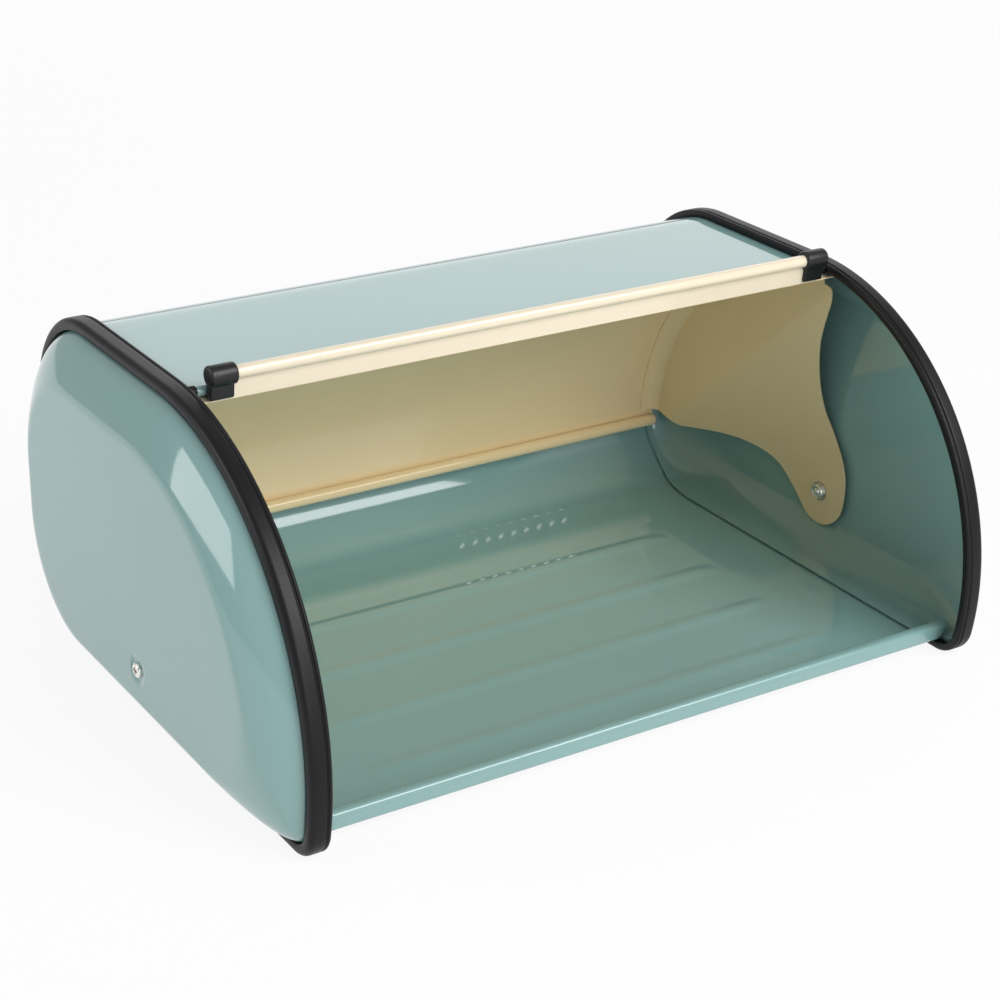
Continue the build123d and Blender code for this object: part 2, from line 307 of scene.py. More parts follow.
def arcPart(centre, radius, first, last, steps, whole=False):
    # points round an arc, at angles in degrees from the back upwards; its last point only if whole
    angles = [radians(first + (last - first) * k / steps) for k in range(steps + whole)]
    return [(centre[0] + radius * cos(a), centre[1] + radius * sin(a)) for a in angles]


def smoothLine(points, steps):
    # a Catmull-Rom curve through the points, with even steps between each pair
    out = []
    for i in range(len(points) - 1):
        a, b = points[max(i - 1, 0)], points[i]
        c, d = points[i + 1], points[min(i + 2, len(points) - 1)]
        for k in range(steps):
            t = k / steps
            out.append(tuple(0.5 * (2 * q + (r - p) * t + (2 * p - 5 * q + 4 * r - s) * t * t
                                    + (3 * q - p - 3 * r + s) * t ** 3)
                             for p, q, r, s in zip(a, b, c, d)))
    return out + [points[-1]]


def lineNormals(line):
    # unit normals to the left of an open line in (y, z)
    normals = []
    for i in range(len(line)):
        before, after = line[max(i - 1, 0)], line[min(i + 1, len(line) - 1)]
        dy, dz = after[0] - before[0], after[1] - before[1]
        size = hypot(dy, dz) or 1
        normals.append((-dz / size, dy / size))
    return normals


def thickSheet(line, xStart, xEnd):
    # a closed sheet along X whose middle follows an open line in (y, z); xStart may be a list
    normals = lineNormals(line)
    half = sheet / 2
    one = [(y + ny * half, z + nz * half) for (y, z), (ny, nz) in zip(line, normals)]
    two = [(y - ny * half, z - nz * half) for (y, z), (ny, nz) in zip(line, normals)]
    loop = one + two[::-1]
    starts = xStart if isinstance(xStart, list) else [xStart] * len(line)
    rows = [[(x, *p) for x, p in zip(starts + starts[::-1], loop)], [(xEnd, *p) for p in loop]]
    points, faces = ladder(rows, closedColumns=True)
    count, width = len(line), len(loop)
    for base in (0, width):
        for i in range(count - 1):
            faces.append((base + i, base + i + 1, base + width - 2 - i, base + width - 1 - i))
    return points, faces


def ringAt(x, centre, radius, steps):
    turns = [2 * pi * k / steps for k in range(steps)]
    return [(x, centre[0] + radius * cos(t), centre[1] + radius * sin(t)) for t in turns]


def tubeAlong(centre, radius, xStart, xEnd, roundEnd, steps=32, endSteps=6):
    # a round bar along X, its ends rounded over
    angles = [radians(90 * k / endSteps) for k in range(endSteps, -1, -1)]
    start = [(xStart + roundEnd * (1 - sin(a)), radius - roundEnd * (1 - cos(a)))
             for a in angles]
    end = [(xEnd - (x - xStart), r) for x, r in reversed(start)]
    points, faces = ladder([ringAt(x, centre, r, steps) for x, r in start + end],
                           closedColumns=True)
    return points, faces + endFaces(len(points), steps)


def lathe(profile, steps=48):
    # (x, radius) points turned about the pivot line; a radius of 0 closes an end
    hollow = profile[0][1] > 0
    rows = [ringAt(x, (pivotY, pivotZ), r, steps) for x, r in profile if r > 0]
    points, faces = ladder(rows, closedColumns=True, closedRows=hollow)
    return points, faces if hollow else faces + endFaces(len(points), steps)


# the box's outline: steps of each stretch, and shares of its floor with closer points in the
# middle, where the rings of the end caps pass the pivot
outlineSteps = {"top": 16, "crown": 26, "back": 14, "heel": 22, "toe": 14, "front": 60}
floorGroups = ((0.0, 0.38, 12), (0.38, 0.62, 44), (0.62, 1.0, 12))
floorShares = [a + (b - a) * k / count for a, b, count in floorGroups for k in range(count)]


def sideOutline(front, back=None, bottom=None, crown=None, heel=None, toe=None):
    # the box seen from its side, moved inwards: a closed list of (y, z)
    back = front if back is None else back
    bottom = front if bottom is None else bottom
    crown = boxForm["crownRadius"] - front if crown is None else crown
    heel = boxForm["heelRadius"] - front if heel is None else heel
    toe = boxForm["toeRadius"] - front if toe is None else toe
    radius = boxForm["frontRadius"] - front
    top, rear = pivotZ + radius, boxForm["depth"] / 2 - back
    toeZ = bottom + toe
    toeY = pivotY - sqrt((radius - toe) ** 2 - (pivotZ - toeZ) ** 2)
    turn = degrees(atan2(toeZ - pivotZ, toeY - pivotY)) % 360
    steps = outlineSteps
    return (straightPart((pivotY, top), (rear - crown, top), evenShares(steps["top"]))
            + arcPart((rear - crown, top - crown), crown, 90, 0, steps["crown"])
            + straightPart((rear, top - crown), (rear, bottom + heel), evenShares(steps["back"]))
            + arcPart((rear - heel, bottom + heel), heel, 0, -90, steps["heel"])
            + straightPart((rear - heel, bottom), (toeY, bottom), floorShares)
            + arcPart((toeY, toeZ), toe, 270, turn, steps["toe"])
            + arcPart((pivotY, pivotZ), radius, turn, 90, steps["front"]))


# functions for Geometry Nodes trees

def newTree(name, inputs):
    tree = bpy.data.node_groups.new(name, "GeometryNodeTree")
    tree.is_modifier = True
    tree.interface.new_socket("Geometry", in_out="INPUT", socket_type="NodeSocketGeometry")
    for inputName, kind in inputs.items():
        tree.interface.new_socket(inputName, in_out="INPUT", socket_type="NodeSocket" + kind)
    tree.interface.new_socket("Geometry", in_out="OUTPUT", socket_type="NodeSocketGeometry")
    return tree, addNode(tree, "NodeGroupInput").outputs


def endTree(tree, geometry, material):
    # every tree ends in real geometry with its material, because the export drops instances
    real = addNode(tree, "GeometryNodeRealizeInstances", None, {0: geometry})
    painted = addNode(tree, "GeometryNodeSetMaterial", None,
                      {"Geometry": real.outputs[0], "Material": material})
    addNode(tree, "NodeGroupOutput", None, {0: painted.outputs[0]})
    return tree


def useTree(piece, tree, values):
    # a Geometry Nodes modifier with its named inputs set
    modifier = piece.modifiers.new(tree.name, "NODES")
    modifier.node_group = tree
    names = {s.name: s.identifier for s in tree.interface.items_tree if s.in_out == "INPUT"}
    for name, value in values.items():
        modifier[names[name]] = value


# end caps: pressed domes with a flange, a seat for the screw and a skirt inside the body sheet
capForm = {"rise": 16.5, "front": 27.0, "back": 25.0, "bottom": 19.0, "corner": 54.0, "toe": 40.0,
           "rim": 6.1, "rimRound": 0.9, "flange": 1.7, "roundFrom": 0.93,
           "seatDepth": 1.2, "seatRadius": 5.0, "seatEdge": 7.6, "seatReach": 2.0}
# the skirt's edge draws back from startX to backX behind Y = turn, over the distance fade
skirtForm = {"startX": 178.4, "backX": 189.2, "front": -120.6, "turn": 78.0, "fade": 56.0,
             "heelTurn": 58.0, "lap": 0.3, "floorSteps": 40, "heelSteps": 32}
capSteps = {"rim": 4, "rise": 24, "round": 8}
# rings from the flat crown's edge to its middle, close together where they pass the seat
crownShares = [0.02 * k for k in range(1, 22)] + [0.48, 0.58, 0.70, 0.82, 0.93]


def shoulderSteps():
    # (share of the inset, share of the rise): a parabola, rounded into the flat crown
    h, count = capForm["roundFrom"], capSteps["rise"]
    steps = [((k / count) ** 2, k / count) for k in range(1, int(h * count) + 1)]
    start, turn = (h * h, h), (h * h + 2 * h * (1 - h), 1.0)
    end = (2 * turn[0] - start[0], 1.0)
    for k in range(1, capSteps["round"] + 1):
        t = k / capSteps["round"]
        steps.append(tuple(a * (1 - t) ** 2 + 2 * b * t * (1 - t) + c * t * t
                           for a, b, c in zip(start, turn, end)))
    return steps


def capRing(share, height):
    # the dome's outline at a share of its inset and a share of its rise
    rim = capForm["rim"]
    starts = [rim] * 3 + [boxForm[k] - rim for k in ("crownRadius", "heelRadius", "toeRadius")]
    ends = [capForm[k] for k in ("front", "back", "bottom", "corner", "corner", "toe")]
    x = capPlane + (capForm["rise"] + boxForm["outerLeg"]) * height
    return [(x, *p) for p in sideOutline(*[a + (b - a) * share for a, b in zip(starts, ends)])]


def seated(point):
    # the dome pressed in round the pivot, down to a flat seat
    x, y, z = point
    r = hypot(y - pivotY, z - pivotZ)
    seatX = halfSpan + capForm["rise"] - capForm["seatDepth"]
    if r >= capForm["seatEdge"] or x < seatX - capForm["seatReach"]:
        return point
    share = (r - capForm["seatRadius"]) / (capForm["seatEdge"] - capForm["seatRadius"])
    return (seatX + (x - seatX) * eased(share), y, z)


def makeEndCap(word, side):
    rows = [[(capPlane, *p) for p in sideOutline(capForm["flange"])]]
    for k in range(capSteps["rim"] + 1):
        a = radians(90 * k / capSteps["rim"])
        x = capPlane + capForm["rimRound"] * (1 - cos(a))
        inset = capForm["rim"] - capForm["rimRound"] * (1 - sin(a))
        rows.append([(x, *p) for p in sideOutline(inset)])
    rows += [capRing(share, height) for share, height in shoulderSteps()]
    edge = rows[-1]
    middle = Vector([sum(c) / len(edge) for c in zip(*edge)])
    rows += [[tuple(Vector(p).lerp(middle, share)) for p in edge] for share in crownShares]
    points, faces = ladder([[seated(p) for p in row] for row in rows], closedColumns=True)
    points.append(tuple(middle))
    width = len(edge)
    last = len(points) - 1 - width
    faces += [(last + j, last + (j + 1) % width, len(points) - 1) for j in range(width)]
    piece = meshObject(f"{word}EndCap", onSide(side, points), faces, finish["greenEnamel"])
    thicken(piece, -1)
    shapeNormals(piece.data)
    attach(piece, "box")
    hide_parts(f"{word}_end_cap")


def makeSkirt(word, side):
    # the cap's wall turned in along the floor, drawn back round the heel, over a dark gap
    f, inset = skirtForm, capForm["rim"] + sheet / 2
    heel = boxForm["heelRadius"] - inset
    centre = (boxForm["depth"] / 2 - inset - heel, inset + heel)
    line = straightPart((f["front"], inset), (centre[0], inset), evenShares(f["floorSteps"]))
    line += arcPart(centre, heel, -90, -90 + f["heelTurn"], f["heelSteps"], True)
    starts = [f["startX"] + (f["backX"] - f["startX"]) * eased((y - f["turn"]) / f["fade"])
              for y, _ in line]
    points, faces = thickSheet(line, starts, capPlane + f["lap"])
    piece = meshObject(f"{word}CapSkirt", onSide(side, points), faces, finish["greenEnamel"])
    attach(piece, "box")


for word, side in sides.items():
    makeEndCap(word, side)
    makeSkirt(word, side)
print("end caps made")


# edge trims: a PVC channel pushed over each end, with a collar over the end of the top hem
trimForm = {"cover": 6.0, "grip": 1.6, "round": 3.2, "grooveWidth": 1.7, "grooveDepth": 0.8,
            "grooveSetback": 1.6, "grooveLead": 0.6, "roundFoot": 0.8, "outerEdge": 0.5,
            "innerEdge": 0.4, "slotEdge": 0.3, "groovePower": 1.5, "grooveSteps": 8,
            "roundSteps": 8, "edgeSteps": 6}
collarForm = {"startX": 180.6, "radius": 2.95, "lap": 1.5, "round": 0.9}
# the body sheet's rolled top hem, at an angle in degrees and a reach from the pivot
hemForm = {"angle": 4.88, "reach": 139.25, "diameter": 5.0, "endX": 182.9, "round": 0.8}
hemCentre = onArc(hemForm["reach"], hemForm["angle"])


def trimSection():
    # (distance in from the outer face, height over the outline), a closed loop
    f, width = trimForm, boxForm["trimWidth"]
    grooveEnd = width - f["grooveSetback"]
    grooveStart = grooveEnd - f["grooveWidth"]
    slotStart, slotEnd = boxForm["outerLeg"], boxForm["outerLeg"] + 2 * sheet
    proud, edge = boxForm["trimProud"], f["slotEdge"]
    loop = [(0.0, -f["cover"] + f["outerEdge"]), (0.0, -f["round"] - f["roundFoot"])]
    loop += arcPart((f["round"], -f["round"]), f["round"], 180, 90, f["roundSteps"], True)
    loop.append((grooveStart - f["grooveLead"], 0.0))
    for k in range(f["grooveSteps"] + 1):
        share = k / f["grooveSteps"]
        depth = f["grooveDepth"] * sin(pi * share) ** f["groovePower"]
        loop.append((grooveStart + f["grooveWidth"] * share, -depth))
    small = f["grooveSetback"]
    loop += arcPart((grooveEnd, -small), small, 90, 0, f["edgeSteps"], True)[1:]
    loop += [(width, -proud + edge), (width - edge, -proud), (slotEnd + edge, -proud),
             (slotEnd, -proud + edge), (slotEnd, -f["grip"]), (slotStart, -f["grip"]),
             (slotStart, -f["cover"] + f["innerEdge"]),
             (slotStart - f["innerEdge"], -f["cover"]), (f["outerEdge"], -f["cover"])]
    return loop


def loopObject(name, points):
    # a closed line of edges for a tree to read
    mesh = bpy.data.meshes.new(name)
    count = len(points)
    mesh.from_pydata([tuple(c * mm for c in p) for p in points],
                     [(k, (k + 1) % count) for k in range(count)], [])
    return newObject(name, mesh)


def trimTree():
    # sweeps the channel's section round the end's outline
    tree, given = newTree("edgeTrim", {"section": "Object", "shift": "Vector",
                                       "material": "Material"})
    path = addNode(tree, "GeometryNodeMeshToCurve", None, {0: given["Geometry"]})
    shape = addNode(tree, "GeometryNodeObjectInfo", None, {0: given["section"]})
    profile = addNode(tree, "GeometryNodeMeshToCurve", None, {0: shape.outputs["Geometry"]})
    swept = addNode(tree, "GeometryNodeCurveToMesh", None,
                    {"Curve": path.outputs[0], "Profile Curve": profile.outputs[0]})
    placed = addNode(tree, "GeometryNodeTransform", None,
                     {0: swept.outputs[0], "Translation": given["shift"]})
    return endTree(tree, placed.outputs[0], given["material"])


def makeTrim(word, side, tree):
    piece = loopObject(f"{word}EdgeTrim", [(0, *p) for p in sideOutline(0)])
    section = loopObject("trimSection", [(-side * inward, -height, 0)
                                         for inward, height in trimSection()])
    useTree(piece, tree, {"section": section, "shift": (side * halfSpan * mm, 0, 0),
                          "material": finish["blackTrimPvc"]})
    applyModifiers(piece)
    bpy.data.objects.remove(section)
    f = collarForm
    collar, collarFaces = tubeAlong(hemCentre, f["radius"], f["startX"],
                                    halfSpan - boxForm["trimWidth"] + f["lap"], f["round"])
    form = bmesh.new()
    form.from_mesh(piece.data)
    corners = [form.verts.new([c * mm for c in p]) for p in onSide(side, collar)]
    for face in collarFaces:
        form.faces.new([corners[k] for k in face])
    form.to_mesh(piece.data)
    form.free()
    shapeNormals(piece.data, 50)
    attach(piece, "box")
    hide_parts(f"{word}_edge_trim")


sweep = trimTree()
for word, side in sides.items():
    makeTrim(word, side, sweep)
print("edge trims made")


# body shell: top, back and floor in one bent sheet, with a rolled top hem and a folded floor lip
shellForm = {"endX": 188.2, "inset": 4.6, "hemSteps": 5, "topSteps": 10, "crownSteps": 30,
             "backSteps": 8, "heelSteps": 30, "floorSteps": 190}
ribForm = {"count": 4, "pitch": 46.5, "firstY": -94.0, "length": 274.0, "width": 16.0,
           "rise": 0.65, "edge": 7.5}
ventForm = {"count": 9, "pitch": 9.1, "firstX": 59.0, "height": 31.5, "diameter": 4.0,
            "punchSides": 28, "punchLength": 12.0}
lipForm = {"depth": 6.5, "height": 9.4, "corner": 2.4, "setback": 20.5, "creaseHeight": 6.9,
           "creaseDepth": 0.32, "creaseHalf": 0.18, "straightX": 178.0, "straightSteps": 12,
           "endBottomX": 185.6, "endTopX": 193.0, "leanPower": 0.6, "cornerSteps": 7}
# (share of the way to the lip's end, distance that the section has drawn in)
lipEnd = [(0.4, 0), (0.7, 0), (0.8, 0.1), (0.88, 0.35), (0.94, 0.8), (0.98, 1.35), (1.0, 1.9)]
# stations along the sheet from its end to the middle, closer where the ribs end: first X, step
# and count of each group
shellStations = ((-shellForm["endX"], 3.0, 8), (-166.0, 6.0, 4), (-145.5, 1.5, 7),
                 (-135.0, 9.0, 15))


def shellLine():
    # the middle of the sheet in (y, z), from the top hem round to the floor lip
    f, inset = shellForm, shellForm["inset"]
    radius = boxForm["frontRadius"] - inset
    crown, heel = boxForm["crownRadius"] - inset, boxForm["heelRadius"] - inset
    rear, top = boxForm["depth"] / 2 - inset, pivotZ + radius
    end = (lipForm["setback"] - boxForm["depth"] / 2, inset)
    return ([onArc(radius, hemForm["angle"] * (1 - share)) for share in evenShares(f["hemSteps"])]
            + straightPart((pivotY, top), (rear - crown, top), evenShares(f["topSteps"]))
            + arcPart((rear - crown, top - crown), crown, 90, 0, f["crownSteps"])
            + straightPart((rear, top - crown), (rear, inset + heel), evenShares(f["backSteps"]))
            + arcPart((rear - heel, inset + heel), heel, 0, -90, f["heelSteps"])
            + straightPart((rear - heel, inset), end, evenShares(f["floorSteps"])) + [end])


def lipSection(inset):
    # the flattened fold as a loop of (y, z): a rounded bead over a front that is set back
    f = lipForm
    halfDepth, halfHeight = f["depth"] / 2 - inset, f["height"] / 2 - inset
    corner = f["corner"] - inset
    crease = f["creaseHeight"] - f["height"] / 2
    loop = []
    for cornerY, cornerZ, first in ((1, 1, 0), (-1, 1, 90), (-1, -1, 180), (1, -1, 270)):
        centre = (cornerY * (halfDepth - corner), cornerZ * (halfHeight - corner))
        arc = arcPart(centre, corner, first, first + 90, f["cornerSteps"], True)
        if (cornerY, cornerZ) == (-1, 1):
            arc += [(-halfDepth, crease + f["creaseHalf"]),
                    (-halfDepth + f["creaseDepth"], crease - f["creaseHalf"])]
        if (cornerY, cornerZ) == (-1, -1):
            arc = [(y + f["creaseDepth"] * min(1.0, -y), z) for y, z in arc]
        loop += arc
    centreY = f["setback"] - boxForm["depth"] / 2
    centreZ = boxForm["trimProud"] + f["height"] / 2
    return [(centreY + y, centreZ + z) for y, z in loop]


def makeLip():
    # the ends are rounded over and lean out along the domes
    f = lipForm

    def endRow(sign, share, inset):
        row = []
        for y, z in lipSection(inset):
            lift = max(0.0, min(1.0, (z - boxForm["trimProud"]) / f["height"])) ** f["leanPower"]
            last = f["endBottomX"] + (f["endTopX"] - f["endBottomX"]) * lift
            row.append((sign * (f["straightX"] + (last - f["straightX"]) * share), y, z))
        return row
    rows = [endRow(-1, share, inset) for share, inset in reversed(lipEnd)]
    for k in range(f["straightSteps"] + 1):
        x = (2 * k / f["straightSteps"] - 1) * f["straightX"]
        rows.append([(x, *p) for p in lipSection(0.0)])
    rows += [endRow(1, share, inset) for share, inset in lipEnd]
    points, faces = ladder(rows, closedColumns=True)
    return points, faces + endFaces(len(points), len(rows[0]))


def ribTree():
    # lines along the ribs' middles; the sheet rises by its distance from the nearest line
    tree, given = newTree("floorRibs", {
        "count": "Int", "firstRib": "Vector", "nextRib": "Vector", "lineStart": "Vector",
        "lineSpan": "Vector", "reach": "Float", "flat": "Float", "rise": "Float",
        "material": "Material"})
    middles = addNode(tree, "GeometryNodeMeshLine", {"mode": "OFFSET"},
                      {"Count": given["count"], "Start Location": given["firstRib"],
                       "Offset": given["nextRib"]})
    line = addNode(tree, "GeometryNodeMeshLine", {"mode": "OFFSET", "Count": 2},
                   {"Start Location": given["lineStart"], "Offset": given["lineSpan"]})
    placed = addNode(tree, "GeometryNodeInstanceOnPoints", None,
                     {"Points": middles.outputs[0], "Instance": line.outputs[0]})
    lines = addNode(tree, "GeometryNodeRealizeInstances", None, {0: placed.outputs[0]})
    away = addNode(tree, "GeometryNodeProximity", {"target_element": "EDGES"},
                   {0: lines.outputs[0]})
    lift = addNode(tree, "ShaderNodeMapRange", {"interpolation_type": "SMOOTHSTEP", "To Max": 0.0},
                   {"Value": away.outputs["Distance"], "From Min": given["flat"],
                    "From Max": given["reach"], "To Min": given["rise"]})
    offset = addNode(tree, "ShaderNodeCombineXYZ", None, {"Z": lift.outputs["Result"]})
    moved = addNode(tree, "GeometryNodeSetPosition", None,
                    {"Geometry": given["Geometry"], "Offset": offset.outputs[0]})
    return endTree(tree, moved.outputs[0], given["material"])


def ventTree():
    # punches two rows of round air vents through the back, square to its sheet
    tree, given = newTree("airVents", {
        "count": "Int", "firstVent": "Vector", "nextVent": "Vector", "radius": "Float",
        "punchSides": "Int", "punchLength": "Float", "turn": "Vector", "material": "Material"})
    row = addNode(tree, "GeometryNodeMeshLine", {"mode": "OFFSET"},
                  {"Count": given["count"], "Start Location": given["firstVent"],
                   "Offset": given["nextVent"]})
    other = addNode(tree, "GeometryNodeTransform", {"Scale": (-1, 1, 1)}, {0: row.outputs[0]})
    both = addNode(tree, "GeometryNodeJoinGeometry", None, {0: row.outputs[0]})
    tree.links.new(other.outputs[0], both.inputs[0])
    punch = addNode(tree, "GeometryNodeMeshCylinder", None,
                    {"Vertices": given["punchSides"], "Depth": given["punchLength"],
                     "Radius": given["radius"]})
    turn = addNode(tree, "FunctionNodeEulerToRotation", None, {0: given["turn"]})
    placed = addNode(tree, "GeometryNodeInstanceOnPoints", None,
                     {"Points": both.outputs[0], "Instance": punch.outputs["Mesh"],
                      "Rotation": turn.outputs[0]})
    real = addNode(tree, "GeometryNodeRealizeInstances", None, {0: placed.outputs[0]})
    cut = addNode(tree, "GeometryNodeMeshBoolean", {"operation": "DIFFERENCE"},
                  {"Mesh 1": given["Geometry"], "Mesh 2": real.outputs[0]})
    return endTree(tree, cut.outputs["Mesh"], given["material"])


def pressRibs(piece):
    f = ribForm
    halfLine, reach = (f["length"] - f["width"]) / 2 * mm, f["width"] / 2
    useTree(piece, ribTree(), {
        "count": f["count"], "firstRib": (0, f["firstY"] * mm, shellForm["inset"] * mm),
        "nextRib": (0, f["pitch"] * mm, 0), "lineStart": (-halfLine, 0, 0),
        "lineSpan": (2 * halfLine, 0, 0), "reach": reach * mm, "flat": (reach - f["edge"]) * mm,
        "rise": f["rise"] * mm, "material": finish["greenEnamel"]})
    applyModifiers(piece)


def punchVents(piece):
    f = ventForm
    heel = boxForm["heelRadius"] - shellForm["inset"]
    lean = asin((boxForm["heelRadius"] - f["height"]) / heel)
    backY = boxForm["depth"] / 2 - boxForm["heelRadius"] + heel * cos(lean)
    useTree(piece, ventTree(), {
        "count": f["count"], "firstVent": (f["firstX"] * mm, backY * mm, f["height"] * mm),
        "nextVent": (f["pitch"] * mm, 0, 0), "radius": f["diameter"] / 2 * mm,
        "punchSides": f["punchSides"], "punchLength": f["punchLength"] * mm,
        "turn": (pi / 2 - lean, 0, 0), "material": finish["greenEnamel"]})
    applyModifiers(piece)


def makeShell():
    half = [first + step * k for first, step, count in shellStations for k in range(count)]
    stations = sorted(set(round(x, 3) for x in half + [-x for x in half]))
    points, faces = ladder([[(x, *p) for x in stations] for p in shellLine()])
    piece = meshObject("bodyShell", points, faces, finish["greenEnamel"])
    pressRibs(piece)
    thicken(piece, 0)
    punchVents(piece)
    shapeNormals(piece.data)
    f = hemForm
    hem = tubeAlong(hemCentre, f["diameter"] / 2, -f["endX"], f["endX"], f["round"])
    rolled = meshObject("rolledEdges", *joined([hem, makeLip()]), finish["greenEnamel"], 30)
    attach(piece, "box")
    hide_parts("body_shell")
    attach(rolled, "box")


makeShell()
print("body shell made")


# lid: a curved skin with its rear bead, and the handle bent out of its front
lidForm = {"radius": 135.75, "rearAngle": -89.7, "openAngle": 7.0, "endX": 187.7, "skinSteps": 90,
           "beadDiameter": 7.0, "beadRound": 2.4, "beadSteps": 44, "handleReach": 12.4,
           "handleDiameter": 6.4, "handleEndX": 176.0, "handleRound": 0.4, "stripStep": 4.0,
           "stripShort": 1.0}


def makeLid():
    f = lidForm
    middle = f["radius"] - sheet / 2
    count, turn = f["skinSteps"], f["openAngle"] - f["rearAngle"]
    skin = [onArc(middle, f["rearAngle"] + turn * k / count) for k in range(count + 1)]
    rodReach = f["radius"] + f["handleReach"]
    reaches = [middle + f["stripStep"] * k for k in range(3)] + [rodReach - f["stripShort"]]
    strip = [onArc(reach, f["openAngle"]) for reach in reaches]
    bead = onArc(f["radius"] - f["beadDiameter"] / 2, f["rearAngle"])
    skinPart = joined([
        thickSheet(skin, -f["endX"], f["endX"]),
        tubeAlong(bead, f["beadDiameter"] / 2, -f["endX"], f["endX"], f["beadRound"],
                  f["beadSteps"])])
    handle = joined([
        thickSheet(strip, -f["handleEndX"], f["handleEndX"]),
        tubeAlong(onArc(rodReach, f["openAngle"]), f["handleDiameter"] / 2,
                  -f["handleEndX"], f["handleEndX"], f["handleRound"])])
    piece = meshObject("lidPanel", *joined([skinPart, handle]), finish["creamEnamelPaintedShade"])
    piece.data.materials.append(finish["creamEnamel"])
    # the skin's outside and the handle take the plain cream; the skin's inside and its rear bead
    # keep the deeper cream, which is painted shade
    outside = list(range(len(skin), 2 * len(skin) - 1))
    for index in outside + list(range(len(skinPart[1]), len(piece.data.polygons))):
        piece.data.polygons[index].material_index = 1
    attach(piece, "lid")
    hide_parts("lid_panel")


makeLid()
print("lid made")


# lid arms: pressed fans, bent out to the pivots and folded over into the lid's skin
armForm = {"pivotX": 206.75, "endX": 188.5, "bendStart": 26.0, "bendEnd": 80.0,
           "bendRadius": 40.0, "direction": 41.0, "lobe": 19.5, "lobeFront": 98.0,
           "lobeRear": 224.0, "lobeSteps": 24, "edgeSteps": 5, "rimSetback": 3.0,
           "rimSteps": 110, "cornerSetback": 2.6, "cornerDrop": 0.8, "flange": 10.5,
           "foldRadius": 8.0, "foldCrease": 14.0, "foldLap": 1.0, "foldSteps": 10}
# edges of the fan about the pivot in (y, z): the front one from the lobe up to the rim, and the
# rear one from the lobe back to the rim
armFront = [(-19.9, 7.0), (-18.7, 16.5), (-14.4, 26.5), (-7.6, 36.5), (-2.6, 47.5), (-0.9, 61.4),
            (-1.8, 77.4), (-4.8, 92.5), (-9.2, 104.5), (-13.4, 114.5), (-15.4, 121.4)]
armRear = [(20.6, -7.4), (31.3, 0.9), (43.9, 8.1), (60.0, 10.8), (74.0, 10.2), (87.0, 8.4),
           (100.0, 6.0), (112.0, 4.2)]
# cuts that let the plate bend, closest over the bend: first distance, step and count of each
# group, across the bend direction and then along it
armCuts = (((12, 2, 40), (96, 6, 7), (-14, 6, 4)), ((-96, 8, 25),))
nearPoints = 0.01      # points closer than this are one


def bendX(u):
    # X of the arm's middle, by the distance u from the pivot along the bend direction
    f, radius = armForm, armForm["bendRadius"]
    slope = atan2(f["pivotX"] - f["endX"], f["bendEnd"] - f["bendStart"])
    reach = radius * tan(slope / 2)
    outer, inner = f["pivotX"] - sheet / 2, f["endX"] - sheet / 2
    if u <= f["bendStart"] - reach:
        return outer
    if u >= f["bendEnd"] + reach:
        return inner
    first = u - (f["bendStart"] - reach)
    last = (f["bendEnd"] + reach) - u
    if first < radius * sin(slope):
        return outer - (radius - sqrt(radius ** 2 - first ** 2))
    if last < radius * sin(slope):
        return inner + (radius - sqrt(radius ** 2 - last ** 2))
    return outer - tan(slope) * (u - f["bendStart"])


def armPlate(plateRadius, first, last):
    # the fan cut out flat and bent out to the pivot
    f = armForm
    count = f["rimSteps"]
    rim = [polar(plateRadius, first + (last - first) * k / count) for k in range(count + 1)]
    lobeTurn, steps = f["lobeRear"] - f["lobeFront"], f["lobeSteps"]
    lobe = [polar(f["lobe"], f["lobeFront"] + lobeTurn * k / steps) for k in range(steps + 1)]
    corner = polar(plateRadius - f["cornerDrop"], first + f["cornerSetback"])
    front = smoothLine([lobe[0]] + armFront + [corner, rim[0]], f["edgeSteps"])
    rear = smoothLine([lobe[-1]] + armRear + [rim[-1]], f["edgeSteps"])
    form = bmesh.new()
    form.faces.new([form.verts.new((0, y, z))
                    for y, z in front[1:-1] + rim + rear[::-1][1:-1] + lobe[::-1]])
    a = radians(f["direction"])
    along, beside = Vector((0, sin(a), cos(a))), Vector((0, cos(a), -sin(a)))
    for direction, groups in zip((along, beside), armCuts):
        for distance in (start + step * k for start, step, many in groups for k in range(many)):
            everything = form.verts[:] + form.edges[:] + form.faces[:]
            bmesh.ops.bisect_plane(form, geom=everything, plane_co=direction * distance,
                                   plane_no=direction)
    bmesh.ops.remove_doubles(form, verts=form.verts, dist=nearPoints)
    form.verts.index_update()
    points = [(bendX(v.co.dot(along)), v.co.y + pivotY, v.co.z + pivotZ) for v in form.verts]
    faces = [tuple(v.index for v in face.verts) for face in form.faces]
    form.free()
    return points, faces


def armFold(plateRadius, rimRadius, turn, first, last):
    # the plate's rim folded over, under the lid's skin
    f = armForm
    plateX = f["endX"] - sheet / 2
    fold = [(plateRadius - f["foldLap"], plateX)]
    for k in range(f["foldSteps"] + 1):
        b = turn + (pi / 2 - turn) * k / f["foldSteps"]
        fold.append((plateRadius + f["foldRadius"] * (sin(b) - sin(turn)),
                     plateX - f["foldRadius"] * (cos(turn) - cos(b))))
    fold.append((rimRadius, f["endX"] - f["flange"]))
    angles = [first + (last - first) * k / f["rimSteps"] for k in range(f["rimSteps"] + 1)]
    return ladder([[(x, *onArc(r, angle)) for r, x in fold] for angle in angles])


